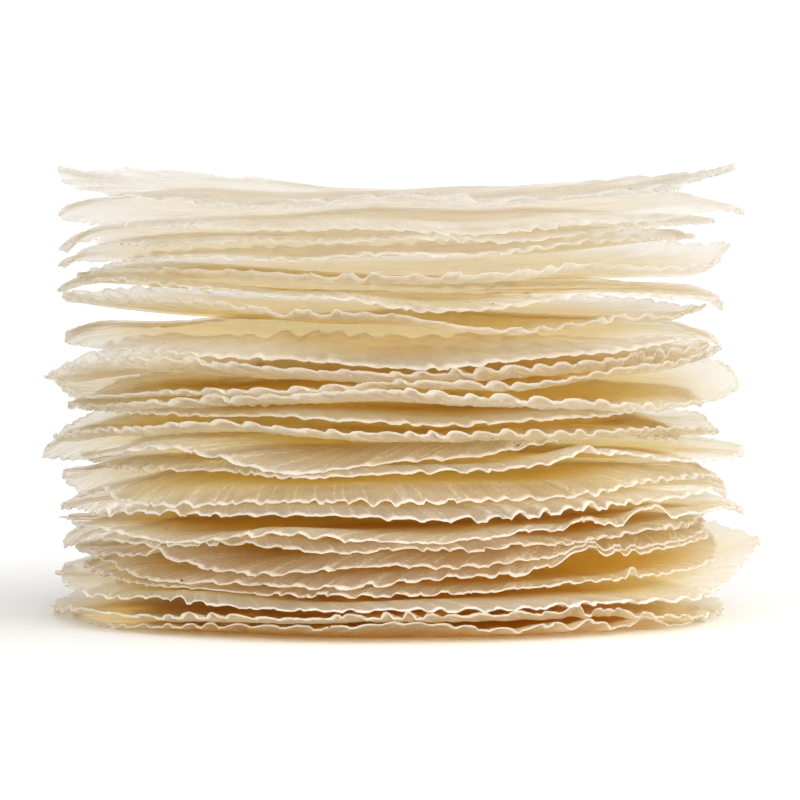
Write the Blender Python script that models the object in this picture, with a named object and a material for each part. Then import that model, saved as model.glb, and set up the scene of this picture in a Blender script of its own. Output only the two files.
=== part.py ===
"""Stack of dried mung bean starch sheets, lying as it was laid.

Metres, +Z up.  X runs along the front of the stack, Y away from it, and the
origin is at the middle of the bottom.  Every sheet is a thin wavy disc with a
rippled rim.  The heights of its near rim were read from a point well in front
of the stack and a little above it, and are turned here into real heights.
"""

import math
import random

import bmesh
import bpy
import numpy as np

# Thickness of a dried sheet and the least air between two of them.
SHEET_THICKNESS = 0.0008
LEAST_AIR = 0.0004

# The sighting: distance to the eye, its tilt, and the real height of the point
# in the middle of the view, with the height that is read there.
EYE_DISTANCE = 3.0
EYE_TILT = math.radians(3.5)
MIDDLE_HEIGHT = 0.0715
MIDDLE_READING = 0.0782

# Sighting stations across the front, from the left to the right.
FIRST_STATION = -0.099
STATION_STEP = 0.0198

# Rings of each disc, from the rim inwards: how many corners each has.
RIM_CORNERS = 72
OUTER_RING_RADIUS = 0.084
INNER_RING_RADIUS = 0.048

# How steeply a sheet climbs to its rim, and how much of the front rim's rise
# the far rim repeats.
CLIMB_POWER = 3.0
FAR_SHARE = 0.7
FAR_AZIMUTHS = (44.0, 90.0, 136.0)
RIM_SMOOTHING = 4.0

# Stations closer to a tip than this share of the radius are left to the tip.
END_SHARE = 0.96

# Ripple of the rim.
RIPPLE_COUNT = 18
RIPPLE_HEIGHT = 0.0009
LOBE_COUNT = 9
LOBE_REACH = 0.0016

# Slow waves across the middle of a sheet.
SWELL_HEIGHT = 0.0005
SWELL_LENGTH = 0.062

# The lowest sheet lies flat out to this radius.
FLAT_RADIUS = 0.084

# One entry for each sheet from the bottom to the top, all in millimetres:
#   heights read at the left and the right tip, and the reach of each tip,
#   the real height of the sheet's middle,
#   how far the far rim stands above its usual height: right, behind, left,
#   heights read on the near rim at the stations.
SHEETS = (
    ((6.3, 6.3), (107, 102), 0.0, (0, 0, 0),
     (5.0, 4.0, 3.6, 3.3, 2.6, 5.0, 3.0, 1.7, 3.0, 3.0, 4.0)),
    ((10.2, 10.6), (115, 107), 5.0, (0, 1, 1),
     (9.6, 5.3, 7.3, 6.3, 5.6, 6.6, 7.3, 7.9, 6.9, 7.6, 6.9)),
    ((18.8, 31.7), (113, 118), 10.0, (17, 1, 6),
     (13.5, 12.2, 10.9, 8.9, 7.3, 7.9, 8.9, 9.2, 11.2, 11.6, 13.5)),
    ((24.8, 29.4), (103, 106), 15.0, (3, 0, 1),
     (23.4, 15.5, 14.2, 12.9, 11.9, 13.2, 13.5, 15.5, 17.8, 18.8, 23.4)),
    ((26.7, 35.3), (105, 103), 20.5, (3, 1, 1),
     (25.4, 17.8, 17.5, 16.2, 14.9, 16.2, 19.1, 19.8, 25.1, 27.4, 29.0)),
    ((28.0, 37.3), (106, 102), 25.5, (0, 1, 0),
     (27.7, 26.1, 20.1, 20.5, 22.1, 23.8, 22.8, 24.4, 26.4, 28.7, 30.4)),
    ((31.4, 39.9), (111, 103), 29.0, (0, 0, 1),
     (32.0, 29.7, 30.7, 28.4, 27.1, 28.7, 26.7, 30.4, 30.7, 34.3, 39.9)),
    ((36.0, 42.6), (111, 114), 32.0, (0, 1, 0),
     (36.3, 30.7, 31.7, 34.0, 31.4, 30.7, 31.0, 35.3, 35.6, 37.3, 42.2)),
    ((40.3, 48.5), (111, 109), 44.0, (1, 0, 0),
     (41.3, 41.3, 39.6, 39.6, 39.9, 38.3, 38.3, 40.3, 41.9, 44.2, 47.9)),
    ((51.2, 52.8), (110, 105), 47.5, (0, 1, 1),
     (45.2, 42.9, 42.9, 43.2, 44.9, 43.9, 43.2, 45.2, 46.2, 50.5, 53.8)),
    ((56.8, 59.7), (104, 115), 51.5, (-3, 0, 0),
     (55.8, 55.1, 54.8, 51.8, 52.1, 52.5, 54.1, 55.1, 59.4, 59.7, 57.4)),
    ((61.1, 65.7), (117, 92), 61.5, (0, 1, 1),
     (57.8, 62.7, 58.4, 53.1, 53.8, 58.1, 58.1, 62.4, 64.7, 65.7, 66.3)),
    ((65.7, 70.6), (113, 105), 65.0, (0, 0, 2),
     (68.0, 70.0, 70.6, 69.3, 68.0, 67.0, 66.3, 67.0, 67.0, 68.3, 69.0)),
    ((75.6, 78.9), (104, 100), 73.0, (1, 1, 0),
     (74.3, 72.9, 72.3, 73.6, 70.3, 70.0, 69.6, 70.6, 71.9, 74.9, 76.2)),
    ((77.6, 85.5), (108, 112), 76.0, (9, 0, 0),
     (76.2, 78.2, 79.2, 79.2, 80.5, 81.5, 80.2, 79.2, 77.2, 76.9, 77.2)),
    ((82.2, 94.1), (114, 105), 81.5, (1, 0, 0),
     (79.2, 80.2, 80.5, 81.8, 82.8, 83.5, 83.5, 83.8, 84.5, 90.1, 92.7)),
    ((85.8, 96.4), (116, 103), 85.5, (0, 1, 1),
     (91.1, 91.7, 91.1, 88.1, 86.8, 86.8, 87.8, 87.8, 90.8, 93.4, 95.7)),
    ((100.3, 100.0), (110, 104), 95.5, (0, 0, 1),
     (95.0, 93.7, 92.4, 91.1, 88.8, 88.1, 89.1, 89.8, 93.1, 95.4, 97.7)),
    ((113.9, 107.3), (112, 100), 99.5, (0, 1, 0),
     (111.9, 110.6, 110.6, 106.3, 106.3, 105.6, 101.6, 101.0, 103.0, 105.3, 105.3)),
    ((115.5, 110.6), (113, 108), 108.0, (-2, -2, 0),
     (117.2, 116.5, 114.5, 110.6, 111.5, 106.6, 105.6, 108.2, 112.2, 113.2, 110.9)),
    ((119.5, 126.1), (106, 109), 114.0, (5, 1, 0),
     (121.1, 120.8, 121.8, 119.5, 118.1, 118.8, 119.1, 120.8, 123.8, 121.8, 121.1)),
    ((123.8, 131.0), (112, 101), 119.5, (0, 0, 1),
     (123.8, 124.1, 124.4, 124.4, 124.7, 125.7, 125.7, 127.4, 129.7, 131.0, 132.3)),
    ((131.0, 135.6), (111, 102), 125.0, (0, 1, 0),
     (130.0, 128.4, 129.0, 130.0, 130.0, 130.4, 130.4, 130.0, 132.7, 134.6, 135.6)),
    ((139.9, 140.9), (112, 112), 131.0, (4, 0, 5),
     (135.0, 134.3, 134.3, 134.0, 134.0, 133.3, 132.3, 133.7, 135.6, 137.0, 139.9)),
    ((154.1, 155.8), (114, 109), 137.0, (3, -6, 3),
     (146.5, 144.5, 140.9, 143.2, 144.2, 144.9, 144.5, 143.9, 144.2, 147.2, 151.5)),
)

# Tones of the dried starch, from the shaded foot of the stack to its top.
TONES = (
    ("starch_amber", (0.66, 0.50, 0.29), 0.46),
    ("starch_cream", (0.76, 0.64, 0.44), 0.48),
    ("starch_pale", (0.84, 0.77, 0.64), 0.50),
)

MM = 0.001
FULL_TURN = 360.0


class Sheet:
    """One sheet's outline and rim heights, worked out from its table entry."""

    def __init__(self, number, entry):
        tips, (reach_left, reach_right), middle, far_lifts, front = entry
        chance = random.Random(100 + number)
        self.number = number
        self.radius = 0.5 * (reach_left + reach_right) * MM
        self.shift_x = 0.5 * (reach_right - reach_left) * MM
        self.shift_y = chance.uniform(-2.5, 2.5) * MM
        self.middle = middle * MM
        self.ripple_phase = chance.uniform(0.0, FULL_TURN)
        self.lobe_phase = chance.uniform(0.0, FULL_TURN)
        self.swell_turn = chance.uniform(0.0, math.pi)
        self.swell_phase = chance.uniform(0.0, 2.0 * math.pi)
        self.rim_table = self.smooth_rim(tips, front, far_lifts)

    def reach(self, azimuth):
        """Distance from the stack's axis to the rim at an azimuth in degrees."""
        turn = math.radians(azimuth)
        along = self.shift_x * math.cos(turn) + self.shift_y * math.sin(turn)
        across = self.shift_y * math.cos(turn) - self.shift_x * math.sin(turn)
        lobe = LOBE_REACH * math.sin(math.radians(LOBE_COUNT * azimuth + self.lobe_phase))
        return along + math.sqrt(self.radius ** 2 - across ** 2) + lobe

    def smooth_rim(self, tips, front, far_lifts):
        """Rim heights at every degree, from the ones that were read."""
        azimuths = [180.0]
        heights = [real_height(tips[0], 0.0)]
        for index, reading in enumerate(front):
            offset = FIRST_STATION + index * STATION_STEP
            from_centre = offset - self.shift_x
            if abs(from_centre) < END_SHARE * self.radius:
                nearness = math.sqrt(self.radius ** 2 - from_centre ** 2)
                true_offset = offset * (1.0 - nearness / EYE_DISTANCE)
                azimuths.append(math.degrees(math.atan2(-nearness, true_offset)) % FULL_TURN)
                heights.append(real_height(reading, nearness))
        azimuths.append(FULL_TURN)
        heights.append(real_height(tips[1], 0.0))
        far_heights = []
        for azimuth, lift in zip(FAR_AZIMUTHS, far_lifts):
            facing = float(np.interp(FULL_TURN - azimuth, azimuths, heights))
            far_heights.append(self.middle + FAR_SHARE * (facing - self.middle) + lift * MM)
        azimuths.extend(FAR_AZIMUTHS)
        heights.extend(far_heights)
        return smooth_round(np.interp(np.arange(FULL_TURN), azimuths, heights, period=FULL_TURN))

    def rim_height(self, azimuth):
        """Height of the rim's underside, ripple included."""
        smooth = float(np.interp(azimuth, np.arange(FULL_TURN), self.rim_table, period=FULL_TURN))
        ripple = math.sin(math.radians(RIPPLE_COUNT * azimuth + self.ripple_phase))
        return smooth + RIPPLE_HEIGHT * ripple

    def height(self, azimuth, radius):
        """Height of the underside inside the rim."""
        share = radius / self.reach(azimuth)
        climb = self.rim_height(azimuth) - self.middle
        if self.number == 0:
            rise = max(0.0, radius - FLAT_RADIUS) / (self.reach(azimuth) - FLAT_RADIUS)
            return climb * rise
        turn = math.radians(azimuth) - self.swell_turn
        swell = math.sin(2.0 * math.pi * radius * math.cos(turn) / SWELL_LENGTH + self.swell_phase)
        return self.middle + climb * share ** CLIMB_POWER + SWELL_HEIGHT * swell


def real_height(reading, nearness):
    """Real height of a point read at a height, this far in front of the axis."""
    seen = (reading * MM - MIDDLE_READING) * (1.0 - nearness / EYE_DISTANCE)
    return MIDDLE_HEIGHT + (seen + nearness * math.sin(EYE_TILT)) / math.cos(EYE_TILT)


def smooth_round(heights):
    """Heights at every degree, each averaged with its neighbours around the rim."""
    reach = int(3 * RIM_SMOOTHING)
    weights = np.exp(-0.5 * (np.arange(-reach, reach + 1) / RIM_SMOOTHING) ** 2)
    wrapped = np.concatenate((heights[-reach:], heights, heights[:reach]))
    return np.convolve(wrapped, weights / weights.sum(), mode="valid")


def ring_azimuths(corners):
    """Evenly spaced azimuths of a ring, in degrees."""
    return [FULL_TURN * index / corners for index in range(corners)]


def inner_heights(sheet):
    """Heights at the middle and on the two inner rings, before any clearing."""
    inner = [sheet.height(azimuth, INNER_RING_RADIUS) for azimuth in ring_azimuths(RIM_CORNERS // 4)]
    outer = [sheet.height(azimuth, OUTER_RING_RADIUS) for azimuth in ring_azimuths(RIM_CORNERS // 2)]
    return np.array([sheet.height(0.0, 0.0)]), np.array(inner), np.array(outer)


def at_rim_corners(outer):
    """Outer ring's heights at the rim's azimuths, halfway values between."""
    halfway = 0.5 * (outer + np.roll(outer, -1))
    return np.column_stack((outer, halfway)).ravel()


def band_height(outer, rim, reach, radius):
    """Height on the straight band between the outer ring and the rim."""
    share = np.clip((radius - OUTER_RING_RADIUS) / (reach - OUTER_RING_RADIUS), 0.0, 1.0)
    return outer + (rim - outer) * share


def clear_of_lower(outer, rim, reach, lower, spacing):
    """Rim heights raised until the band stays above every lower sheet's."""
    start = at_rim_corners(outer)
    for low_outer, low_rim, low_reach in lower:
        low_start = at_rim_corners(low_outer)
        floor = band_height(low_start, low_rim, low_reach, reach) + spacing
        rim = np.maximum(rim, floor)
        share = np.clip((low_reach - OUTER_RING_RADIUS) / (reach - OUTER_RING_RADIUS), 0.0, 1.0)
        needed = start + (low_rim + spacing - start) / share
        rim = np.where(share < 1.0, np.maximum(rim, needed), rim)
    return rim


def lay_sheets():
    """Every sheet's ring heights from the bottom up, each clear of the last."""
    spacing = SHEET_THICKNESS + LEAST_AIR
    azimuths = ring_azimuths(RIM_CORNERS)
    laid = []
    lower = []
    for number, entry in enumerate(SHEETS):
        sheet = Sheet(number, entry)
        middle, inner, outer = inner_heights(sheet)
        reach = np.array([sheet.reach(azimuth) for azimuth in azimuths])
        rim = np.array([sheet.rim_height(azimuth) for azimuth in azimuths])
        if laid:
            below = laid[-1]
            middle = np.maximum(middle, below[0] + spacing)
            inner = np.maximum(inner, below[1] + spacing)
            outer = np.maximum(outer, below[2] + spacing)
        else:
            rim = np.maximum(rim, 0.0)
        rim = clear_of_lower(outer, rim, reach, lower, spacing)
        laid.append((middle, inner, outer, rim, reach))
        lower.append((outer, rim, reach))
    return laid


def add_ring(mesh, heights, radii, lift):
    """One ring of corners, raised by a lift."""
    ring = []
    for azimuth, height, radius in zip(ring_azimuths(len(heights)), heights, radii):
        turn = math.radians(azimuth)
        point = (radius * math.cos(turn), radius * math.sin(turn), height + lift)
        ring.append(mesh.verts.new(point))
    return ring


def fill_fan(mesh, hub, ring):
    """Triangles between the middle corner and the innermost ring."""
    for index, corner in enumerate(ring):
        mesh.faces.new((hub, corner, ring[(index + 1) % len(ring)]))


def fill_band(mesh, inner, outer):
    """Three triangles for each side of a ring inside one with twice the corners."""
    for index, corner in enumerate(inner):
        following = inner[(index + 1) % len(inner)]
        first = outer[2 * index]
        between = outer[2 * index + 1]
        last = outer[(2 * index + 2) % len(outer)]
        mesh.faces.new((corner, first, between))
        mesh.faces.new((corner, between, following))
        mesh.faces.new((following, between, last))


def fill_edge(mesh, low, high):
    """The narrow wall around the rim."""
    for index, corner in enumerate(low):
        following = (index + 1) % len(low)
        mesh.faces.new((corner, low[following], high[following], high[index]))


def build_face(mesh, rings, lift):
    """One face of a sheet; returns its rim corners."""
    middle, inner, outer, rim, reach = rings
    hub = mesh.verts.new((0.0, 0.0, middle[0] + lift))
    inner_ring = add_ring(mesh, inner, np.full(len(inner), INNER_RING_RADIUS), lift)
    outer_ring = add_ring(mesh, outer, np.full(len(outer), OUTER_RING_RADIUS), lift)
    rim_ring = add_ring(mesh, rim, reach, lift)
    fill_fan(mesh, hub, inner_ring)
    fill_band(mesh, inner_ring, outer_ring)
    fill_band(mesh, outer_ring, rim_ring)
    return rim_ring


def build_sheet(name, rings, material):
    """A closed thin solid with both faces divided alike."""
    solid = bmesh.new()
    under_rim = build_face(solid, rings, 0.0)
    for face in solid.faces:
        face.normal_flip()
    top_rim = build_face(solid, rings, SHEET_THICKNESS)
    fill_edge(solid, under_rim, top_rim)
    mesh = bpy.data.meshes.new(name)
    solid.to_mesh(mesh)
    solid.free()
    mesh.shade_smooth()
    mesh.set_sharp_from_angle(angle=math.radians(40.0))
    mesh.materials.append(material)
    sheet = bpy.data.objects.new(name, mesh)
    bpy.context.scene.collection.objects.link(sheet)
    return sheet


def make_material(name, colour, roughness):
    """A plain starch tone."""
    material = bpy.data.materials.new(name)
    material.use_nodes = True
    shader = material.node_tree.nodes["Principled BSDF"]
    shader.inputs["Base Color"].default_value = (*colour, 1.0)
    shader.inputs["Roughness"].default_value = roughness
    shader.inputs["Metallic"].default_value = 0.0
    return material


def main():
    for leftover in list(bpy.data.objects):
        bpy.data.objects.remove(leftover, do_unlink=True)
    materials = [make_material(*tone) for tone in TONES]
    laid = lay_sheets()
    for number, rings in enumerate(laid):
        tone = materials[number * len(materials) // len(laid)]
        build_sheet(f"sheet_{number + 1:02d}", rings, tone)


main()
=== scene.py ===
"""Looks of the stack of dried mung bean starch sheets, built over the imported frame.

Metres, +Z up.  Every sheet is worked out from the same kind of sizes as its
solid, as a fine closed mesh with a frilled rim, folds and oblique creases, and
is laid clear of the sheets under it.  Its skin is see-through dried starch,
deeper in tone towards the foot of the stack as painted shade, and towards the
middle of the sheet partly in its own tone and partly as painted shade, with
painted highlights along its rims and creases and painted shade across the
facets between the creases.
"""

import math
import random

import bpy
import numpy as np
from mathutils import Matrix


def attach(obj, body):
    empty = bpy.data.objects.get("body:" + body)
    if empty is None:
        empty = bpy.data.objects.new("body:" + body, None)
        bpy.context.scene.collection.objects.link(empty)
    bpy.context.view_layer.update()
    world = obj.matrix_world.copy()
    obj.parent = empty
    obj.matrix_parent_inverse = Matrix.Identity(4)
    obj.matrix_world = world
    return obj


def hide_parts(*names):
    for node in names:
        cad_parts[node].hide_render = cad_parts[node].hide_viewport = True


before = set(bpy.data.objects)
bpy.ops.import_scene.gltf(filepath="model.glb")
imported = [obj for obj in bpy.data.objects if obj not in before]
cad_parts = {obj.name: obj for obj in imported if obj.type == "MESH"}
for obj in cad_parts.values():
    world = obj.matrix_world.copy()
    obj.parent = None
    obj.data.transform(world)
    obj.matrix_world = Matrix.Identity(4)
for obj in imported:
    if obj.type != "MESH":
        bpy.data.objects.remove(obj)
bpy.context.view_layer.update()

MM = 0.001
HALF_TURN = 180.0
FULL_TURN = 360.0

# Thickness of a dried sheet and the least air between two of them.
SHEET_THICKNESS = 0.0008
LEAST_AIR = 0.0004

# The sighting: distance to the eye, its tilt, and the real height of the point
# in the middle of the view, with the height that is read there.
EYE_DISTANCE = 3.0
EYE_TILT = math.radians(3.5)
MIDDLE_HEIGHT = 0.0715
MIDDLE_READING = 0.0782

# Sighting stations across the front, from the left to the right.
FIRST_STATION = -0.099
STATION_STEP = 0.0198

# The form shared with the solids, and the seeds of their unevenness.
FIRST_SEED = 100
CLIMB_POWER = 3.0
FAR_SHARE = 0.7
FAR_AZIMUTHS = (44.0, 90.0, 136.0)
RIM_SMOOTHING = 4.0
END_SHARE = 0.96
LOBE_COUNT = 9
LOBE_REACH = 0.0016
SWELL_HEIGHT = 0.0005
SWELL_LENGTH = 0.062
FLAT_RADIUS = 0.084
SHIFT_MOST = 0.0025

# How steeply a small form falls off: most of them, flat-topped ones, and ones
# that spread wide.
FALL_POWER = 1.5
FLAT_POWER = 2.5
WIDE_POWER = 2.0

# Height of the smallest wave in a mixture, beside the largest.
LEAST_WAVE = 0.4

# One entry for each sheet from the bottom to the top, all in millimetres:
#   heights read at the left and the right tip, and the reach of each tip,
#   the real height of the sheet's middle,
#   how far the far rim stands above its usual height: right, behind, left,
#   heights read on the near rim at the stations.
SHEETS = (
    ((4.8, 5.5), (107, 102), 0.0, (0, 0, 0),
     (3.2, 3.6, 3.6, 3.3, 2.6, 5.0, 3.0, 1.7, 3.0, 3.0, 3.2)),
    ((10.2, 10.6), (115, 107), 5.0, (0, 1, 1),
     (9.6, 5.3, 7.3, 6.3, 5.6, 6.6, 7.3, 7.9, 6.9, 7.6, 6.9)),
    ((18.8, 31.7), (113, 118), 10.5, (17, 1, 6),
     (13.5, 12.2, 10.9, 8.9, 7.3, 7.9, 8.9, 9.2, 11.2, 11.6, 13.5)),
    ((24.8, 29.4), (103, 106), 15.5, (3, 0, 1),
     (23.4, 15.5, 14.2, 12.9, 11.9, 13.2, 13.5, 15.5, 17.8, 18.8, 23.4)),
    ((26.7, 35.3), (105, 103), 22.0, (3, 1, 1),
     (25.4, 17.8, 17.5, 16.2, 14.9, 16.2, 19.1, 19.8, 25.1, 27.4, 29.0)),
    ((28.0, 37.3), (106, 102), 27.5, (0, 1, 0),
     (27.7, 26.1, 20.1, 20.5, 21.5, 22.5, 22.1, 24.6, 26.4, 28.7, 30.4)),
    ((31.4, 39.9), (111, 103), 31.0, (0, 0, 1),
     (32.0, 29.7, 30.7, 28.4, 27.1, 28.7, 26.7, 30.4, 30.7, 34.3, 39.9)),
    ((36.0, 42.6), (111, 114), 33.5, (0, 1, 0),
     (36.3, 30.7, 31.7, 34.0, 31.4, 30.7, 31.0, 35.3, 35.6, 37.3, 42.2)),
    ((40.3, 48.5), (111, 109), 43.5, (1, 0, 0),
     (41.3, 41.3, 39.6, 39.6, 39.9, 38.3, 38.3, 40.3, 41.9, 44.2, 47.9)),
    ((51.2, 52.8), (110, 105), 50.0, (0, 1, 1),
     (45.2, 42.9, 42.9, 43.2, 44.9, 43.9, 43.2, 45.2, 46.2, 50.5, 53.8)),
    ((56.8, 59.7), (104, 115), 55.0, (-3, 0, 0),
     (55.8, 55.1, 54.8, 51.8, 52.1, 52.5, 54.1, 55.1, 59.4, 59.7, 57.4)),
    ((61.1, 65.7), (117, 92), 62.5, (0, 1, 1),
     (57.8, 62.7, 58.4, 53.1, 53.8, 58.1, 58.1, 62.4, 64.7, 65.7, 66.3)),
    ((65.7, 70.6), (113, 105), 65.5, (0, 0, 2),
     (68.0, 70.0, 70.6, 69.3, 68.0, 67.0, 66.3, 67.0, 67.0, 68.3, 69.0)),
    ((75.6, 78.9), (104, 100), 73.0, (1, 1, 0),
     (74.3, 72.9, 72.3, 73.6, 70.3, 70.0, 69.6, 70.6, 71.9, 74.9, 76.2)),
    ((77.6, 85.5), (108, 112), 76.0, (9, 0, 0),
     (76.2, 78.2, 79.2, 79.2, 80.5, 81.5, 80.2, 79.2, 77.2, 76.9, 77.2)),
    ((82.2, 94.1), (114, 105), 79.5, (1, 0, 0),
     (79.2, 80.2, 80.5, 81.8, 82.8, 83.5, 83.5, 83.8, 84.5, 90.1, 92.7)),
    ((85.8, 96.4), (116, 103), 82.5, (0, 1, 1),
     (91.1, 91.7, 91.1, 88.1, 86.8, 86.8, 87.8, 87.8, 90.8, 93.4, 95.7)),
    ((100.3, 100.0), (110, 104), 96.0, (0, 4, -1),
     (95.0, 93.7, 92.4, 91.1, 88.8, 88.1, 89.1, 89.8, 93.1, 95.4, 97.7)),
    ((113.9, 107.3), (112, 100), 99.5, (0, -2, -1),
     (111.9, 110.6, 110.6, 106.3, 106.3, 105.6, 101.6, 101.0, 103.0, 105.3, 105.3)),
    ((115.5, 110.6), (113, 108), 108.0, (-5, -3, 0),
     (117.2, 116.5, 114.5, 110.6, 111.5, 106.6, 105.6, 108.2, 112.2, 113.2, 110.9)),
    ((119.5, 126.1), (106, 109), 113.5, (5, 1, 0),
     (121.1, 120.8, 121.8, 119.5, 118.1, 118.8, 119.1, 120.8, 123.8, 121.8, 121.1)),
    ((123.8, 131.0), (112, 101), 121.0, (0, 0, 1),
     (123.8, 124.1, 124.4, 124.4, 124.7, 125.7, 125.7, 127.4, 129.7, 131.0, 132.3)),
    ((131.0, 135.6), (111, 102), 127.0, (0, 1, 0),
     (130.0, 128.4, 129.0, 130.0, 130.0, 130.4, 130.4, 130.0, 132.7, 134.6, 135.6)),
    ((139.9, 140.9), (112, 112), 133.5, (4, 0, 5),
     (135.0, 134.3, 134.3, 134.0, 134.0, 133.3, 132.3, 133.7, 135.6, 137.0, 139.9)),
    ((152.6, 155.8), (114, 109), 138.5, (-1, -7.5, 3),
     (146.5, 144.5, 140.9, 143.2, 144.2, 144.9, 144.5, 143.9, 144.2, 147.2, 151.5)),
)

# How each rim is frilled and curled, from the bottom sheet to the top one:
#   +1 for round humps with teeth that point down, -1 for sags with teeth that
#   point up, and values between for a mixture of both,
#   height of a wave in mm, length of a wave in mm,
#   how far the waves run inwards in mm, and how far they lean over in degrees,
#   how far the rim is turned up in mm, or down if less than zero, and over
#   what width in mm,
#   and how strongly the face is creased along its grain, up to 1.
FRILLS = (
    (1.0, 0.9, 9.7, 9, 30, 0.0, 10, 0.6),
    (0.9, 1.0, 10.1, 10, -35, 2.0, 9, 0.6),
    (0.8, 0.9, 10.1, 10, 40, -2.5, 12, 0.5),
    (0.2, 0.7, 8.8, 8, -30, -2.0, 9, 0.8),
    (-0.9, 0.9, 11.0, 9, -35, -2.5, 9, 0.8),
    (0.3, 0.8, 8.8, 10, -40, -3.5, 14, 1.0),
    (0.3, 0.8, 10.6, 9, 30, -2.0, 9, 1.0),
    (0.2, 0.8, 9.7, 12, -40, -1.8, 9, 1.0),
    (1.0, 1.1, 9.7, 9, 25, -3.0, 10, 0.7),
    (0.3, 1.0, 7.9, 10, 15, -4.5, 16, 0.9),
    (0.4, 0.7, 9.2, 9, 30, -2.0, 10, 0.8),
    (0.0, 0.8, 10.1, 18, -50, -5.0, 20, 1.0),
    (1.0, 1.1, 8.5, 12, -50, 3.0, 10, 0.6),
    (0.3, 0.6, 8.8, 9, 30, -1.5, 8, 0.2),
    (1.0, 1.1, 10.5, 12, -55, 3.5, 10, 0.8),
    (1.0, 1.1, 10.5, 10, -50, 2.0, 9, 0.7),
    (0.7, 1.2, 10.0, 14, -50, 4.0, 16, 0.9),
    (-0.2, 0.6, 8.4, 8, 20, -1.5, 7, 0.1),
    (-1.0, 0.9, 11.0, 9, 20, 1.5, 8, 0.4),
    (0.3, 0.7, 8.4, 16, 50, -3.0, 16, 0.7),
    (-1.0, 1.0, 11.0, 8, 25, 3.0, 10, 0.2),
    (1.0, 0.8, 9.2, 8, 30, -1.0, 8, 0.2),
    (0.2, 0.6, 7.9, 8, 25, -2.0, 9, 0.2),
    (0.4, 0.6, 7.5, 8, 30, -3.5, 16, 0.2),
    (0.9, 1.3, 20.0, 24, 55, 0.0, 10, 0.8),
)

# Single folds in the near rims: number of the sheet from the bottom, where the
# fold is to the right of the middle, half its width, its height and how far it
# runs inwards, all in millimetres.
FOLDS = (
    (8, 81, 8.0, 5.0, 14),
    (8, 61, 8.0, 2.5, 14),
    (5, 59, 8.5, 3.0, 12),
    (4, 78, 2.4, 3.2, 6),
    (11, 64, 5.0, 2.5, 10),
    (6, -80, 4.0, 2.6, 10),
    (10, -98, 7.0, 3.5, 14),
    (2, 53, 4.0, 2.5, 10),
    (2, 66, 5.0, 2.2, 10),
    (1, 46, 5.0, 2.2, 10),
    (1, 60, 5.0, 2.5, 10),
    (1, 80, 8.0, 3.0, 10),
    (1, 96, 7.0, 3.0, 10),
)

# Small points that stick out of an outline, or dents if their reach is less than
# zero: number of the sheet from the bottom, azimuth and half width in degrees,
# and reach in millimetres.
POINTS = (
    (8, 184, 1.2, 3.0),
    (3, 184, 1.5, 2.5),
    (3, 179, 1.0, 2.0),
    (16, 186, 1.5, 2.0),
    (12, 183, 1.2, 2.0),
    (23, 188, 4.0, 2.0),
    (22, 0, 14.0, -8.0),
    (20, 180, 8.0, -1.5),
    (8, 176, 8.0, -2.0),
)

# Bumps of the top sheet's far rim: azimuth and half width in degrees, height in
# millimetres; and how far they run inwards.
FAR_BUMPS = ((143.2, 3.0, 1.4), (133.8, 4.0, 1.3), (126.6, 4.5, 1.5), (115.7, 4.5, 1.1))
FAR_BUMP_RUN = 0.014

# How uneven a frill is: lengths and heights of its waves, and how much of a
# wave its hump takes up.
UNEVEN_LENGTH = 0.32
UNEVEN_HEIGHT = 0.6
LEAST_HUMP = 0.5
MOST_HUMP = 0.9
HUMP_BLUNTNESS = 0.7
HUMP_SKEW = 0.75
TOOTH_HEIGHT = 0.35
TOOTH_WIDTH = 0.035

# How much a frill swells and dies down around the rim.
LIVELINESS = 0.6
LIVELY_FEWEST = 2
LIVELY_MOST = 11
LIVELY_WAVES = 6

# Close to the two tips the frill gives way to longer waves.
TIP_CALM = 0.6
TIP_WAVE_HEIGHT = 0.0013
TIP_WAVE_LENGTH = 0.017

# How far the left and the right tip of each sheet are turned up in mm, or down
# if less than zero, from the bottom sheet to the top one, and over what width
# and what part of the rim.
TIP_CURLS = (
    (2.0, 1.5), (-2.5, -2.0), (2.5, 0.0), (-2.0, 1.0), (2.0, -1.5),
    (-2.5, 1.0), (-2.0, 1.5), (2.5, -2.0), (2.0, -1.5), (4.0, -2.5),
    (2.0, 1.0), (-2.5, 0.0), (0.0, -2.0), (1.5, -2.0), (-2.0, 1.5),
    (1.5, 1.0), (-0.5, 0.0), (0.0, -3.0), (-2.5, 1.5), (-2.5, -2.5),
    (-2.5, 2.5), (-2.5, 1.0), (-4.5, 1.0), (0.3, -1.0), (0.6, 0.0),
)
TIP_CURL_WIDTH = 0.0045
TIP_CURL_ARC = 15.0

# Fine creases in the faces.
CREASE_HEIGHT = 0.00022
CREASE_LEAST = 0.3
CREASE_REACH = 0.034
CREASE_FEWEST = 70
CREASE_MOST = 190
CREASE_WAVES = 14

# The top sheet is creased deeper, by this factor.
TOP_CREASES = 3.5

# Small burrs on the rim, up and down.
BURR_HEIGHT = 0.0002
BURR_RUN = 0.0025
BURR_FEWEST = 150
BURR_MOST = 620
BURR_WAVES = 30

# Small nicks in the outline of the rim.
NICK_REACH = 0.00028
NICK_FEWEST = 40
NICK_MOST = 260
NICK_WAVES = 16

# The rim's rings, where the sheet thins out to its edge: half thicknesses at
# distances in from it.
RIM_INSETS = (0.0, 0.0003, 0.0009, 0.0018, 0.0032)
RIM_HALVES = (0.0, 0.00022, 0.0003, 0.00034, 0.0004)

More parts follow.
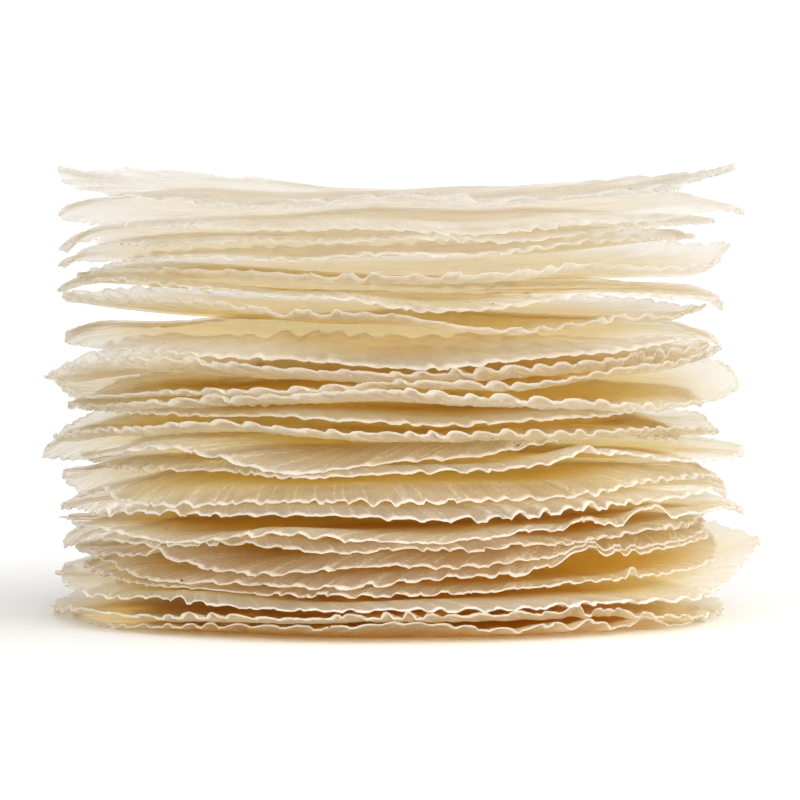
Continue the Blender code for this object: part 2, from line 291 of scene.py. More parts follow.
# Rings further in, with how many of the rim's corners each keeps: one of two
# at these distances from the edge, then one of four and one of eight at these
# shares of the radius there.  The top sheet, whose face shows, has more.
BAND_INSETS = (0.005, 0.0075, 0.0105, 0.014, 0.0185)
BAND_DEPTH = BAND_INSETS[-1]
QUARTER_SHARES = (0.93, 0.85, 0.75, 0.64, 0.52)
EIGHTH_SHARES = (0.38, 0.2)
FINE_QUARTER_SHARES = tuple(0.97 - 0.025 * step for step in range(26))
FINE_EIGHTH_SHARES = tuple(0.3 - 0.03 * step for step in range(9))

# Corners of a rim in front of and behind the stack.
FRONT_CORNERS = 720
BACK_CORNERS = 200

# Grid on which the sheets are laid on each other: how far a sheet eases off as
# it comes to rest, and how steeply what it lies on ends outside a rim.
GRID_AZIMUTHS = 2160
GRID_RADIUS = 0.132
GRID_STEP = 0.00075
REST_BLEND = 0.0004
REST_SLOPE = 0.6

# Frames that the patterns of the starch are laid out in, in centimetres: how
# far out the grain starts to spread, and how deep both frames go on the way in.
CENTIMETRES = 100.0
GRAIN_CORE = 0.35
GRAIN_DEPTH = 0.15
GRAIN_HUB = 0.03
FOLD_DEPTH = 0.05

# Tones of the dried starch at the foot of the stack, a little under its middle
# and at its top: the surface near the rim and further in, and the light that
# goes straight through further in.  The darker, more amber tones towards the
# foot are painted shade, and the whiter ones at the top painted light.  Paler
# near the rim is partly the thin starch's own tone, and deeper further in is
# partly painted shade.
MIDDLE_PLACE = 0.45
TONE_POWER = 1.7
SHADED_EDGE_TONES = ((0.88, 0.83, 0.68), (0.885, 0.865, 0.78), (0.85, 0.85, 0.855))
SHADED_HEART_TONES = ((0.96, 0.77, 0.33), (0.985, 0.855, 0.48), (0.985, 0.98, 0.955))
SHADED_CLEAR_TINTS = ((1.0, 0.865, 0.46), (1.0, 0.905, 0.58), (1.0, 0.995, 0.98))
CLEAR_EDGE = (1.0, 0.99, 0.97)
EDGE_END = 0.042

# The painted highlight along the rim: its colour, how strong it is and where it
# ends at the foot and at the top of the stack, and how it wanders.
LIP_HIGHLIGHT_COLOUR = (0.82, 0.79, 0.735)
FOOT_LIP_SHARE = 0.85
TOP_LIP_SHARE = 0.25
LIP_START = 0.0003
FOOT_LIP_END = 0.0013
TOP_LIP_END = 0.004
LIP_POWER = 2
LIP_WANDER = 0.0006
WANDER_SCALE = 260.0
WANDER_DETAIL = 1.0
WANDER_RANGE = (0.3, 0.7)

# Shares of the light that the starch lets through spread out and straight,
# inside the sheet and at its painted highlight lines, and the tint of the
# spread light.
SHARE_THROUGH = 0.68
SHARE_THROUGH_LIP = 0.3
SHARE_CLEAR = 0.46
THROUGH_TINT = (1.0, 0.98, 0.94)
ROUGHNESS = 0.42
GLOSS = 0.45

# Streaks along the grain and clouds across it, and how they darken the surface;
# the same darkening also carries the painted shade across the facets.
# A smooth sheet has more clouds, a creased one more streaks.
STREAK_SCALE = 8.0
STREAK_DETAIL = 2.5
STREAK_ROUGHNESS = 0.6
CLOUD_SCALE = 45.0
CLOUD_DETAIL = 3.0
CLOUD_ROUGHNESS = 0.5
SMOOTH_CLOUDS = 0.9
CREASED_CLOUDS = 0.3
MOTTLE_AND_SHADE_COLOUR = (0.85, 0.79, 0.70)
MOTTLE_AND_SHADE_RANGE = (0.25, 0.60)

# Creases: the facets between them, darker away from the creases as painted
# shade, and the painted highlights along the creases, which are broken where
# the streaks are dark and end some way in from the rim.
FOLD_SCALE = 1.1
FOLD_WIDTH = 0.05
FOLD_HIGHLIGHT = 0.48
PAINTED_FACET_SHADE = -0.25
FOLD_RELIEF = 2.0
FOLD_END = 0.03
FOLD_PATCHES = (0.36, 0.56)

# Small dark specks.
SPECK_SCALE = 75.0
SPECK_SIZE = 0.036
SPECK_COLOUR = (0.20, 0.09, 0.03)

# Relief of the streaks and facets, and the share of it on a smooth sheet.
BUMP_STRENGTH = 0.45
BUMP_LEAST = 0.4
BUMP_HEIGHT = 0.0006

# Light: direction, edge and strength of the soft light in front; strengths of
# the light all round, level with the floor and overhead; and the side from
# which it comes weaker, where that begins and what is left of it.
FRONT_LIGHT = (0.36, -0.9, 0.25)
LIGHT_EDGE = 0.55
FRONT_STRENGTH = 1.65
LEVEL_STRENGTH = 2.8
ZENITH_STRENGTH = 0.9
DIM_SIDE = (-0.75, 0.66, 0.0)
DIM_FROM = -0.6
DIM_SHARE = 0.26
WHITE = (1.0, 1.0, 1.0)
BOUNCES = 10
CLEAR_BOUNCES = 16

# The floor, and the camera: the photo's side in pixels and the real size of one
# of them at the stack.
FLOOR_HALF = 20.0
FLOOR_COLOUR = (0.88, 0.88, 0.88)
FLOOR_ROUGHNESS = 0.9
FLOOR_GLOSS = 0.1
SENSOR_WIDTH = 36.0
PHOTO_SIDE = 800
PIXEL_SIZE = 0.00033
SIGHT_END = 50.0

azimuths = np.arange(GRID_AZIMUTHS) * FULL_TURN / GRID_AZIMUTHS
radii = np.arange(0.0, GRID_RADIUS, GRID_STEP)


def between(first, second, share):
    """A value part of the way from the first to the second."""
    return first + (second - first) * share


def falloff(distance, width, power=FALL_POWER):
    """1 at no distance, dying down over a width."""
    return np.exp(-np.abs(distance / width) ** power)


def real_height(reading, nearness):
    """Real height of a point read at a height, this far in front of the axis."""
    seen = (reading * MM - MIDDLE_READING) * (1.0 - nearness / EYE_DISTANCE)
    return MIDDLE_HEIGHT + (seen + nearness * math.sin(EYE_TILT)) / math.cos(EYE_TILT)


def smooth_round(heights):
    """Heights at every degree, each averaged with its neighbours around the rim."""
    reach = int(3 * RIM_SMOOTHING)
    weights = np.exp(-0.5 * (np.arange(-reach, reach + 1) / RIM_SMOOTHING) ** 2)
    wrapped = np.concatenate((heights[-reach:], heights, heights[:reach]))
    return np.convolve(wrapped, weights / weights.sum(), mode="valid")


def mixed_waves(chance, fewest, most, count):
    """Values at the grid's azimuths of several waves added up, 1 at the highest."""
    total = np.zeros(GRID_AZIMUTHS)
    for _ in range(count):
        turns = chance.randint(fewest, most)
        phase = chance.uniform(0.0, FULL_TURN)
        height = chance.uniform(LEAST_WAVE, 1.0)
        total += height * np.sin(np.radians(turns * azimuths + phase))
    return total / np.abs(total).max()


class Sheet:
    """One sheet: its outline, its own form, and its form once it is laid."""

    def __init__(self, number, entry, frill):
        tips, (reach_left, reach_right), middle, far_lifts, front = entry
        self.kind, height, length, run, lean, curl, curl_width, self.creased = frill
        self.number = number
        self.is_top = number == len(SHEETS) - 1
        self.radius = 0.5 * (reach_left + reach_right) * MM
        self.shift_x = 0.5 * (reach_right - reach_left) * MM
        self.middle = middle * MM
        self.curl = curl * MM
        self.curl_width = curl_width * MM
        self.frill_run = run * MM
        self.lean = math.tan(math.radians(lean)) / self.radius
        chance = random.Random(FIRST_SEED + number)
        self.shift_y = chance.uniform(-SHIFT_MOST, SHIFT_MOST)
        # The solid draws the turn of its ripple here, so one number is passed over.
        chance.uniform(0.0, FULL_TURN)
        self.lobe_phase = chance.uniform(0.0, FULL_TURN)
        self.swell_turn = chance.uniform(0.0, math.pi)
        self.swell_phase = chance.uniform(0.0, 2.0 * math.pi)
        self.rim_table = self.smooth_rim(tips, front, far_lifts)
        nicks = NICK_REACH * mixed_waves(chance, NICK_FEWEST, NICK_MOST, NICK_WAVES)
        self.outline = self.plain_reach(azimuths) + nicks + self.points()
        self.frill = self.mixed_frill(chance, height * MM, length * MM)
        self.creases = mixed_waves(chance, CREASE_FEWEST, CREASE_MOST, CREASE_WAVES)
        self.burrs = mixed_waves(chance, BURR_FEWEST, BURR_MOST, BURR_WAVES)
        lively = mixed_waves(chance, LIVELY_FEWEST, LIVELY_MOST, LIVELY_WAVES)
        self.frill *= 1.0 + LIVELINESS * lively
        if self.is_top:
            self.creases *= TOP_CREASES
        self.laid = None

    def plain_reach(self, azimuth):
        """Distance from the stack's axis to the rim at azimuths in degrees."""
        turn = np.radians(azimuth)
        along = self.shift_x * np.cos(turn) + self.shift_y * np.sin(turn)
        across = self.shift_y * np.cos(turn) - self.shift_x * np.sin(turn)
        lobe = LOBE_REACH * np.sin(np.radians(LOBE_COUNT * azimuth + self.lobe_phase))
        return along + np.sqrt(self.radius ** 2 - across ** 2) + lobe

    def points(self):
        """How far the small points stick out at the grid's azimuths."""
        total = np.zeros(GRID_AZIMUTHS)
        for number, azimuth, half_width, height in POINTS:
            if number == self.number + 1:
                offset = (azimuths - azimuth + HALF_TURN) % FULL_TURN - HALF_TURN
                total += height * MM * falloff(offset, half_width)
        return total

    def reach(self, azimuth):
        """Distance from the axis to the finished rim at azimuths in degrees."""
        return np.interp(azimuth, azimuths, self.outline, period=FULL_TURN)

    def smooth_rim(self, tips, front, far_lifts):
        """Rim heights at every degree, from the ones that were read."""
        angles = [HALF_TURN]
        heights = [real_height(tips[0], 0.0)]
        for index, reading in enumerate(front):
            offset = FIRST_STATION + index * STATION_STEP
            from_centre = offset - self.shift_x
            if abs(from_centre) < END_SHARE * self.radius:
                nearness = math.sqrt(self.radius ** 2 - from_centre ** 2)
                true_offset = offset * (1.0 - nearness / EYE_DISTANCE)
                angles.append(math.degrees(math.atan2(-nearness, true_offset)) % FULL_TURN)
                heights.append(real_height(reading, nearness))
        angles.append(FULL_TURN)
        heights.append(real_height(tips[1], 0.0))
        far_heights = []
        for azimuth, lift in zip(FAR_AZIMUTHS, far_lifts):
            facing_height = float(np.interp(FULL_TURN - azimuth, angles, heights))
            far_heights.append(between(self.middle, facing_height, FAR_SHARE) + lift * MM)
        angles.extend(FAR_AZIMUTHS)
        heights.extend(far_heights)
        return smooth_round(np.interp(np.arange(FULL_TURN), angles, heights, period=FULL_TURN))

    def frill_waves(self, chance, height, length):
        """Uneven humps with teeth between them, at the grid's azimuths."""
        count = round(2.0 * math.pi * self.radius / length)
        spread = 1.0 - UNEVEN_LENGTH, 1.0 + UNEVEN_LENGTH
        widths = [chance.uniform(*spread) for _ in range(count)]
        signs = [1.0 if chance.uniform(-1.0, 1.0) < self.kind else -1.0 for _ in range(count)]
        sizes = [chance.uniform(1.0 - UNEVEN_HEIGHT, 1.0 + UNEVEN_HEIGHT) for _ in range(count)]
        humps = np.array([chance.uniform(LEAST_HUMP, MOST_HUMP) for _ in range(count)])
        edges = np.concatenate(([0.0], np.cumsum(widths)))
        edges *= FULL_TURN / edges[-1]
        wave = np.searchsorted(edges, azimuths, side="right") - 1
        along = (azimuths - edges[wave]) / (edges[wave + 1] - edges[wave])
        hump = humps[wave]
        skew = HUMP_SKEW if self.lean < 0.0 else 1.0 / HUMP_SKEW
        skewed = np.clip(along / hump, 0.0, 1.0) ** skew
        bulge = np.sin(np.pi * skewed) ** HUMP_BLUNTNESS
        from_tooth = np.minimum(np.minimum(along, 1.0 - along), np.abs(along - hump))
        tooth = np.exp(-from_tooth / TOOTH_WIDTH)
        shape = bulge - 0.5 - TOOTH_HEIGHT * tooth
        return height * np.array(signs)[wave] * np.array(sizes)[wave] * shape

    def mixed_frill(self, chance, height, length):
        """The sheet's own waves, with long waves near the two tips."""
        calm = np.clip(np.abs(np.sin(np.radians(azimuths))) / TIP_CALM, 0.0, 1.0)
        long_waves = self.frill_waves(chance, TIP_WAVE_HEIGHT, TIP_WAVE_LENGTH)
        own_waves = self.frill_waves(chance, height, length)
        return calm * own_waves + (1.0 - calm) * long_waves

    def folds(self, leaning, inset):
        """Height of the single folds on the grid."""
        total = np.zeros(inset.shape)
        for number, place, half_width, height, run in FOLDS:
            if number == self.number + 1:
                turn = math.acos((place * MM - self.shift_x) / self.radius)
                offset = (np.radians(leaning - FULL_TURN) + turn) * self.radius
                across = falloff(offset, half_width * MM, FLAT_POWER)
                total += height * MM * across * falloff(inset, run * MM)
        return total

    def tip_curls(self, inset):
        """How far the two tips are turned up or down on the grid."""
        left, right = TIP_CURLS[self.number]
        from_left = azimuths - HALF_TURN
        from_right = np.minimum(azimuths, FULL_TURN - azimuths)
        turned = left * falloff(from_left, TIP_CURL_ARC, WIDE_POWER)
        turned += right * falloff(from_right, TIP_CURL_ARC, WIDE_POWER)
        return turned[None, :] * MM * falloff(inset, TIP_CURL_WIDTH)

    def far_bumps(self, inset):
        """Height of the bumps in the top sheet's far rim on the grid."""
        total = np.zeros(GRID_AZIMUTHS)
        for azimuth, half_width, height in FAR_BUMPS:
            total += height * MM * falloff(azimuths - azimuth, half_width, FLAT_POWER)
        return total[None, :] * falloff(inset, FAR_BUMP_RUN)

    def plain_form(self, radius, inset):
        """Height of the sheet without frill, creases and folds."""
        outline = self.outline[None, :]
        rim = np.interp(azimuths, np.arange(FULL_TURN), self.rim_table, period=FULL_TURN)
        if self.number == 0:
            rise = np.maximum(0.0, radius - FLAT_RADIUS) / (outline - FLAT_RADIUS)
            return rim[None, :] * np.clip(rise, 0.0, 1.0)
        share = np.clip(radius / outline, 0.0, 1.0)
        climb = (rim[None, :] - self.curl - self.middle) * share ** CLIMB_POWER
        turn = np.radians(azimuths)[None, :] - self.swell_turn
        phase = 2.0 * math.pi * radius * np.cos(turn) / SWELL_LENGTH + self.swell_phase
        curl = self.curl * np.clip(1.0 - inset / self.curl_width, 0.0, 1.0) ** 2
        return self.middle + climb + SWELL_HEIGHT * np.sin(phase) + curl

    def own_form(self):
        """Height of the underside on the grid, before it is laid on anything."""
        radius = radii[:, None]
        inset = np.maximum(self.outline[None, :] - radius, 0.0)
        leaning = azimuths[None, :] + np.degrees(self.lean * inset)
        frill = np.interp(leaning, azimuths, self.frill, period=FULL_TURN)
        creases = np.interp(leaning, azimuths, self.creases, period=FULL_TURN)
        creases *= CREASE_HEIGHT * between(CREASE_LEAST, 1.0, self.creased)
        form = self.plain_form(radius, inset)
        form += frill * falloff(inset, self.frill_run)
        form += creases * falloff(inset, CREASE_REACH, WIDE_POWER)
        form += self.folds(leaning, inset) + self.tip_curls(inset)
        form += BURR_HEIGHT * self.burrs[None, :] * np.exp(-inset / BURR_RUN)
        if self.is_top:
            form += self.far_bumps(inset)
        return form

    def lay(self, support):
        """Lays the sheet on what is under it; returns what the next one lies on."""
        form = self.own_form()
        if support is None:
            self.laid = np.maximum(form, 0.0)
        else:
            gap = form - support
            self.laid = support + 0.5 * (gap + np.sqrt(gap ** 2 + REST_BLEND ** 2))
        outside = np.maximum(radii[:, None] - self.outline[None, :], 0.0)
        top = self.laid + SHEET_THICKNESS + LEAST_AIR - REST_SLOPE * outside
        return top if support is None else np.maximum(top, support)

    def height_at(self, azimuth, radius):
        """Height of the laid underside at azimuths in degrees and radii."""
        column = azimuth / FULL_TURN * GRID_AZIMUTHS
        row = np.clip(radius / GRID_STEP, 0.0, len(radii) - 2)
        left = np.floor(column).astype(int)
        low = np.floor(row).astype(int)
        across = column - left
        up = row - low
        left %= GRID_AZIMUTHS
        right = (left + 1) % GRID_AZIMUTHS
        inner = between(self.laid[low, left], self.laid[low, right], across)
        outer = between(self.laid[low + 1, left], self.laid[low + 1, right], across)
        return between(inner, outer, up)


def rim_azimuths():
    """Azimuths of a rim's corners, closer together in front."""
    back = np.arange(BACK_CORNERS) * HALF_TURN / BACK_CORNERS
    front = HALF_TURN + np.arange(FRONT_CORNERS) * HALF_TURN / FRONT_CORNERS
    return np.concatenate((back, front))


def sheet_rings(sheet):
    """Azimuths, radii and half thicknesses of every ring, from the rim inwards."""
    full = rim_azimuths()
    half = 0.5 * SHEET_THICKNESS
    rings = [(full, sheet.reach(full) - inset, thin) for inset, thin in zip(RIM_INSETS, RIM_HALVES)]
    rings += [(full[::2], sheet.reach(full[::2]) - inset, half) for inset in BAND_INSETS]
    quarters = FINE_QUARTER_SHARES if sheet.is_top else QUARTER_SHARES
    eighths = FINE_EIGHTH_SHARES if sheet.is_top else EIGHTH_SHARES
    for kept, shares in ((full[::4], quarters), (full[::8], eighths)):
        inside = sheet.reach(kept) - BAND_DEPTH
        rings += [(kept, inside * share, half) for share in shares]
    return rings


def band_faces(outer_start, outer_count, inner_start, inner_count):
    """Faces between two rings with the same corners, or half of them inside."""
    faces = []
    if outer_count == inner_count:
        for index in range(outer_count):
            following = (index + 1) % outer_count
            faces.append((outer_start + index, outer_start + following,
                          inner_start + following, inner_start + index))
        return faces
    for index in range(inner_count):
        following = (index + 1) % inner_count
        first = outer_start + 2 * index
        between_them = first + 1
        last = outer_start + (2 * index + 2) % outer_count
        faces.append((first, between_them, inner_start + index))
        faces.append((between_them, inner_start + following, inner_start + index))
        faces.append((between_them, last, inner_start + following))
    return faces


def face_layout(rings, start):
    """Faces of one side whose rings are numbered from start, middle corner last."""
    faces = []
    first = start
    for (outer, _, _), (inner, _, _) in zip(rings, rings[1:]):
        following = first + len(outer)
        faces.extend(band_faces(first, len(outer), following, len(inner)))
        first = following
    count = len(rings[-1][0])
    hub = first + count
    faces.extend((first + index, first + (index + 1) % count, hub) for index in range(count))
    return faces


def side_points(sheet, rings, side):
    """Corners of the upper (side 1) or lower (side -1) face, rings then middle."""
    points = []
    for azimuth, radius, half in rings:
        turn = np.radians(azimuth)
        middle = sheet.height_at(azimuth, radius) + 0.5 * SHEET_THICKNESS
        height = np.maximum(middle + side * half, 0.0)
        points.append(np.column_stack((radius * np.cos(turn), radius * np.sin(turn), height)))
    centre = sheet.height_at(np.zeros(1), np.zeros(1))[0] + 0.5 * SHEET_THICKNESS * (1.0 + side)
    points.append(np.array([[0.0, 0.0, centre]]))
    return np.concatenate(points)


def pattern_frames(sheet, rings):
    """Where each corner lies along the grain and on the folds, and how far in it is."""
    grain = []
    folds = []
    insets = []
    for azimuth, radius, _ in rings:
        outline = sheet.reach(azimuth)
        inset = outline - radius
        turn = np.radians(azimuth) + sheet.lean * inset
        east = np.cos(turn)
        north = np.sin(turn)
        spread = np.maximum(radius, GRAIN_CORE * outline)
        grain.append(np.column_stack((spread * east, spread * north, GRAIN_DEPTH * inset)))
        folds.append(np.column_stack((east, north, FOLD_DEPTH * inset / outline)))
        insets.append(inset)
    grain.append(np.array([[0.0, 0.0, GRAIN_HUB]]))
    folds.append(np.array([[0.0, 0.0, FOLD_DEPTH]]))
    insets.append(np.array([sheet.radius]))
    grain = np.concatenate(grain) * CENTIMETRES
    folds = np.concatenate(folds) * sheet.radius * CENTIMETRES
    return grain, folds, np.concatenate(insets)


def store_frames(mesh, sheet, rings):
    """Stores the frames at the corners of both faces, for the material to read."""
    rim = len(rings[0][0])
    grain, folds, insets = pattern_frames(sheet, rings)
    for name, vectors in (("grain", grain), ("fold", folds)):
        both = np.concatenate((vectors, vectors[rim:]))
        mesh.attributes.new(name, "FLOAT_VECTOR", "POINT").data.foreach_set("vector", both.ravel())
    both = np.concatenate((insets, insets[rim:]))
    mesh.attributes.new("inset", "FLOAT", "POINT").data.foreach_set("value", both)


def build_sheet(sheet, material):
    """A closed fine mesh of one sheet, whose two faces share the rim's corners."""
    rings = sheet_rings(sheet)
    upper = side_points(sheet, rings, 1.0)
    lower = side_points(sheet, rings, -1.0)
    rim = len(rings[0][0])
    shared = {len(upper) + index: index for index in range(rim)}
    lower_faces = [tuple(shared.get(corner, corner - rim) for corner in reversed(face))
                   for face in face_layout(rings, len(upper))]
    points = np.concatenate((upper, lower[rim:]))
    mesh = bpy.data.meshes.new(f"sheet_{sheet.number + 1:02d}_skin")
    mesh.from_pydata(points.tolist(), [], face_layout(rings, 0) + lower_faces)
    mesh.shade_smooth()
    store_frames(mesh, sheet, rings)
    mesh.materials.append(material)
    piece = bpy.data.objects.new(mesh.name, mesh)
    bpy.context.scene.collection.objects.link(piece)
    return piece


def set_inputs(tree, node, inputs):
    """Sets each of a node's inputs to a value, or links it to a socket."""
    for name, value in inputs.items():
        if isinstance(value, bpy.types.NodeSocket):
            tree.links.new(value, node.inputs[name])
        else:
            node.inputs[name].default_value = value


def add_node(tree, kind, inputs=None, **settings):
    """A new shader node with its settings made and its inputs set or linked."""
    node = tree.nodes.new(f"ShaderNode{kind}")
    for name, value in settings.items():
        setattr(node, name, value)
    set_inputs(tree, node, inputs or {})
    return node


def worked(tree, operation, *values):
    """The result of one sum on values or sockets."""
    node = add_node(tree, "Math", dict(enumerate(values)), operation=operation)
    return node.outputs["Value"]


def ranged(tree, value, start, end, low, high, curve="LINEAR"):
    """A value carried from start and end to low and high, and held beyond them."""
    inputs = {"Value": value, "From Min": start, "From Max": end, "To Min": low, "To Max": high}
    return add_node(tree, "MapRange", inputs, interpolation_type=curve).outputs["Result"]


def noise(tree, spot, scale, detail, roughness):
    """Cloudy noise at a spot."""
    inputs = {"Vector": spot, "Scale": scale, "Detail": detail, "Roughness": roughness}
    return add_node(tree, "TexNoise", inputs).outputs["Fac"]


def blended(tree, share, first, second, blend="MIX"):
    """Two colours mixed, or otherwise blended, by the second one's share."""
    inputs = {"Factor": share, "A": first, "B": second}
    return add_node(tree, "Mix", inputs, data_type="RGBA", blend_type=blend).outputs["Result"]


def mixed_shader(tree, share, first, second):
    """Two shaders mixed by the second one's share."""
    return add_node(tree, "MixShader", {"Fac": share, 1: first, 2: second}).outputs["Shader"]


def opaque(colour):
    """A colour with its alpha."""
    return (*colour, 1.0)


def place_shaded_colour(colours, place):
    """The colour at a place from the foot of the stack, 0, to its top, 1; the foot's darker tone is
    painted shade.
    """
    foot, middle, top = colours
    if place < MIDDLE_PLACE:
        first, second, share = foot, middle, place / MIDDLE_PLACE
    else:
        above = (place - MIDDLE_PLACE) / (1.0 - MIDDLE_PLACE)
        first, second, share = middle, top, above ** TONE_POWER
    return opaque(between(a, b, share) for a, b in zip(first, second))


class PaintedLightTone:
    """Colours with painted shade by the place in the stack, from 0 to 1, and the painted rim
    highlight.
    """

    def __init__(self, place):
        self.edge = place_shaded_colour(SHADED_EDGE_TONES, place)
        self.heart = place_shaded_colour(SHADED_HEART_TONES, place)
        self.clear = place_shaded_colour(SHADED_CLEAR_TINTS, place)
        self.lip_highlight_share = between(FOOT_LIP_SHARE, TOP_LIP_SHARE, place ** LIP_POWER)
        self.lip_highlight_end = between(FOOT_LIP_END, TOP_LIP_END, place ** LIP_POWER)


def rim_highlight(tree, spot, inset, tone):
    """How strong the painted highlight along the rim is, with an uneven inner end."""
    uneven = noise(tree, spot, WANDER_SCALE, WANDER_DETAIL, CLOUD_ROUGHNESS)
    wander = ranged(tree, uneven, *WANDER_RANGE, -LIP_WANDER, LIP_WANDER)
    within = worked(tree, "ADD", inset, wander)
    return ranged(tree, within, LIP_START, tone.lip_highlight_end, tone.lip_highlight_share, 0.0, "SMOOTHSTEP")


def crease_highlights(tree, facets, streaks, inset, creased):
    """How strong the painted highlights along the creases are; they are broken and end inwards."""
    line = ranged(tree, facets, 0.0, FOLD_WIDTH, FOLD_HIGHLIGHT * creased, 0.0, "SMOOTHSTEP")
    patches = ranged(tree, streaks, *FOLD_PATCHES, 0.0, 1.0, "SMOOTHSTEP")
    outward = ranged(tree, inset, 0.0, FOLD_END, 1.0, 0.0)
    return worked(tree, "MULTIPLY", worked(tree, "MULTIPLY", line, patches), outward)


def mottle_and_facet_shade(tree, spot, facets, streaks, creased):
    """The starch's own streaks and clouds, with painted shade across the facets between the creases,
    as one darkening value.
    """
    clouds = noise(tree, spot, CLOUD_SCALE, CLOUD_DETAIL, CLOUD_ROUGHNESS)
    share = between(SMOOTH_CLOUDS, CREASED_CLOUDS, creased)
    both = add_node(tree, "Mix", {"Factor": share, "A": streaks, "B": clouds}, data_type="FLOAT")
    # Painted shade: each facet gets darker away from its creases.
    return worked(tree, "MULTIPLY_ADD", facets, PAINTED_FACET_SHADE, both.outputs["Result"])


def surface_colour(tree, spot, inward_tone_and_shade, shade, pale, tone):
    """The tone between edge and heart, partly painted shade, darkened by the streaks, clouds and
    painted facet shade, with painted highlights and dark specks.
    """
    toned = blended(tree, inward_tone_and_shade, tone.edge, tone.heart)
    ramp = add_node(tree, "ValToRGB", {"Fac": shade})
    low, high = ramp.color_ramp.elements
    low.position, high.position = MOTTLE_AND_SHADE_RANGE
    low.color = opaque(MOTTLE_AND_SHADE_COLOUR)
    high.color = opaque(WHITE)
    shaded = blended(tree, 1.0, toned, ramp.outputs["Color"], "MULTIPLY")
    # Painted highlights along the rim and the creases.
    lined = blended(tree, pale, shaded, opaque(LIP_HIGHLIGHT_COLOUR))
    spots = add_node(tree, "TexVoronoi", {"Vector": spot, "Scale": SPECK_SCALE})
    speck = worked(tree, "LESS_THAN", spots.outputs["Distance"], SPECK_SIZE)
    return blended(tree, speck, lined, opaque(SPECK_COLOUR))


def relief(tree, facets, streaks, creased):
    """Normals of a surface raised by the facets and the streaks."""
    height = worked(tree, "MULTIPLY_ADD", facets, FOLD_RELIEF, streaks)
    strength = BUMP_STRENGTH * between(BUMP_LEAST, 1.0, creased)
    inputs = {"Strength": strength, "Distance": BUMP_HEIGHT, "Height": height}
    return add_node(tree, "Bump", inputs).outputs["Normal"]


def skin_shader(tree, colour, normal, pale):
    """What the surface sends back, with what spreads out on its way through."""
    surface = tree.nodes["Principled BSDF"]
    set_inputs(tree, surface, {"Base Color": colour, "Normal": normal,
                               "Roughness": ROUGHNESS, "Specular IOR Level": GLOSS})
    warmed = blended(tree, 1.0, colour, opaque(THROUGH_TINT), "MULTIPLY")
    through = add_node(tree, "BsdfTranslucent", {"Color": warmed, "Normal": normal})
    share = ranged(tree, pale, 0.0, 1.0, SHARE_THROUGH, SHARE_THROUGH_LIP)
    return mixed_shader(tree, share, surface.outputs["BSDF"], through.outputs["BSDF"])


def clear_shader(tree, tint):
    """Light that goes straight through, tinted."""
    return add_node(tree, "BsdfTransparent", {"Color": tint}).outputs["BSDF"]


def make_starch(name, tone, creased):
    """Dried starch: the surface sends light back and the body lets it through.

    The inner side of the skin is clear, so light is scattered once on its way
    through a sheet.  Rim line and creases carry painted highlights and let less
    light through; the colours carry painted shade, deeper towards the foot of the
    stack and, partly, further in from the rim.
    """
    material = bpy.data.materials.new(name)
    material.use_nodes = True
    tree = material.node_tree
    spot = add_node(tree, "TexCoord").outputs["Object"]
    grain = add_node(tree, "Attribute", attribute_name="grain").outputs["Vector"]
    fold = add_node(tree, "Attribute", attribute_name="fold").outputs["Vector"]
    inset = add_node(tree, "Attribute", attribute_name="inset").outputs["Fac"]
    inner_side = add_node(tree, "NewGeometry").outputs["Backfacing"]
    streaks = noise(tree, grain, STREAK_SCALE, STREAK_DETAIL, STREAK_ROUGHNESS)
    cells = {"Vector": fold, "Scale": FOLD_SCALE}
    facets = add_node(tree, "TexVoronoi", cells, feature="DISTANCE_TO_EDGE").outputs["Distance"]
    # Painted highlights along the creases and the rim.
    lines = crease_highlights(tree, facets, streaks, inset, creased)
    pale = worked(tree, "MAXIMUM", lines, rim_highlight(tree, spot, inset, tone))
    # Share of the heart tone: paler near the rim partly in the starch's own tone, deeper inwards
    # partly as painted shade.
    inward_tone_and_shade = ranged(tree, inset, 0.0, EDGE_END, 0.0, 1.0, "SMOOTHSTEP")
    shade = mottle_and_facet_shade(tree, spot, facets, streaks, creased)
    colour = surface_colour(tree, spot, inward_tone_and_shade, shade, pale, tone)
    skin = skin_shader(tree, colour, relief(tree, facets, streaks, creased), pale)
    # Straight-through tint, deeper further in and towards the foot, partly as painted shade.
    tint = blended(tree, inward_tone_and_shade, opaque(CLEAR_EDGE), tone.clear)
    share_clear = ranged(tree, pale, 0.0, 1.0, SHARE_CLEAR, 0.0)
    outer = mixed_shader(tree, share_clear, skin, clear_shader(tree, tint))
    both = mixed_shader(tree, inner_side, outer, clear_shader(tree, tint))
    set_inputs(tree, tree.nodes["Material Output"], {"Surface": both})
    return material


def make_floor():
    """A wide, flat, pale floor."""
    material = bpy.data.materials.new("floor_paper")
    material.use_nodes = True
    tree = material.node_tree
    set_inputs(tree, tree.nodes["Principled BSDF"], {
        "Base Color": opaque(FLOOR_COLOUR),
        "Roughness": FLOOR_ROUGHNESS,
        "Specular IOR Level": FLOOR_GLOSS,
    })
    mesh = bpy.data.meshes.new("floor")
    corners = [(x * FLOOR_HALF, y * FLOOR_HALF, 0.0) for x, y in ((-1, -1), (1, -1), (1, 1), (-1, 1))]
    mesh.from_pydata(corners, [], [(0, 1, 2, 3)])
    mesh.materials.append(material)
    floor = bpy.data.objects.new("floor", mesh)
    bpy.context.scene.collection.objects.link(floor)


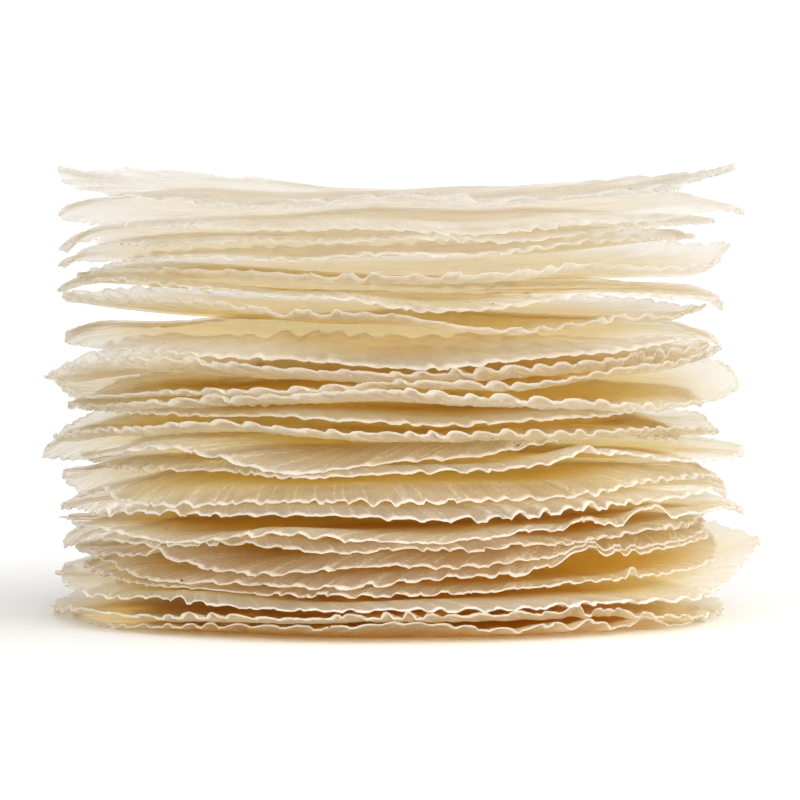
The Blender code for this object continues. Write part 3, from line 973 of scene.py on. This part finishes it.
def make_camera():
    """Looks at the front of the stack from a little above it."""
    data = bpy.data.cameras.new("camera")
    data.sensor_width = SENSOR_WIDTH
    data.lens = SENSOR_WIDTH * EYE_DISTANCE / (PHOTO_SIDE * PIXEL_SIZE)
    data.clip_end = SIGHT_END
    camera = bpy.data.objects.new("camera", data)
    camera.location = (0.0, -EYE_DISTANCE * math.cos(EYE_TILT),
                       MIDDLE_HEIGHT + EYE_DISTANCE * math.sin(EYE_TILT))
    camera.rotation_euler = (0.5 * math.pi - EYE_TILT, 0.0, 0.0)
    bpy.context.scene.collection.objects.link(camera)
    bpy.context.scene.camera = camera


def facing(tree, direction, side):
    """How far a direction points to a side, as their dot product."""
    node = add_node(tree, "VectorMath", {0: direction, 1: side}, operation="DOT_PRODUCT")
    return node.outputs["Value"]


def make_light():
    """Soft white light from all round, stronger in front and weaker at the back left."""
    world = bpy.data.worlds.new("studio")
    bpy.context.scene.world = world
    world.use_nodes = True
    world.cycles.sampling_method = "NONE"
    tree = world.node_tree
    direction = add_node(tree, "TexCoord").outputs["Generated"]
    toward = facing(tree, direction, FRONT_LIGHT)
    lobe = ranged(tree, toward, LIGHT_EDGE, 1.0, 0.0, FRONT_STRENGTH, "SMOOTHERSTEP")
    height = add_node(tree, "SeparateXYZ", {"Vector": direction}).outputs["Z"]
    belt = ranged(tree, height, 0.0, 1.0, LEVEL_STRENGTH, ZENITH_STRENGTH)
    dimming = ranged(tree, facing(tree, direction, DIM_SIDE), DIM_FROM, 1.0, 1.0, DIM_SHARE)
    strength = worked(tree, "ADD", lobe, worked(tree, "MULTIPLY", belt, dimming))
    set_inputs(tree, tree.nodes["Background"], {"Color": opaque(WHITE), "Strength": strength})


def set_render():
    """Plain colours, and enough bounces for light that seeps between the sheets."""
    scene = bpy.context.scene
    scene.view_settings.view_transform = "Standard"
    scene.cycles.use_denoising = True
    scene.cycles.max_bounces = BOUNCES
    scene.cycles.diffuse_bounces = BOUNCES
    scene.cycles.transmission_bounces = BOUNCES
    scene.cycles.transparent_max_bounces = CLEAR_BOUNCES


def main():
    make_camera()
    make_light()
    make_floor()
    set_render()
    support = None
    for number, (entry, frill) in enumerate(zip(SHEETS, FRILLS)):
        sheet = Sheet(number, entry, frill)
        support = sheet.lay(support)
        # Painted shade: the tone gets darker and more amber towards the foot of the stack.
        tone = PaintedLightTone(number / (len(SHEETS) - 1))
        material = make_starch(f"starch_{number + 1:02d}", tone, sheet.creased)
        piece = build_sheet(sheet, material)
        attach(piece, "root")
        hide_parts(f"sheet_{number + 1:02d}")


main()
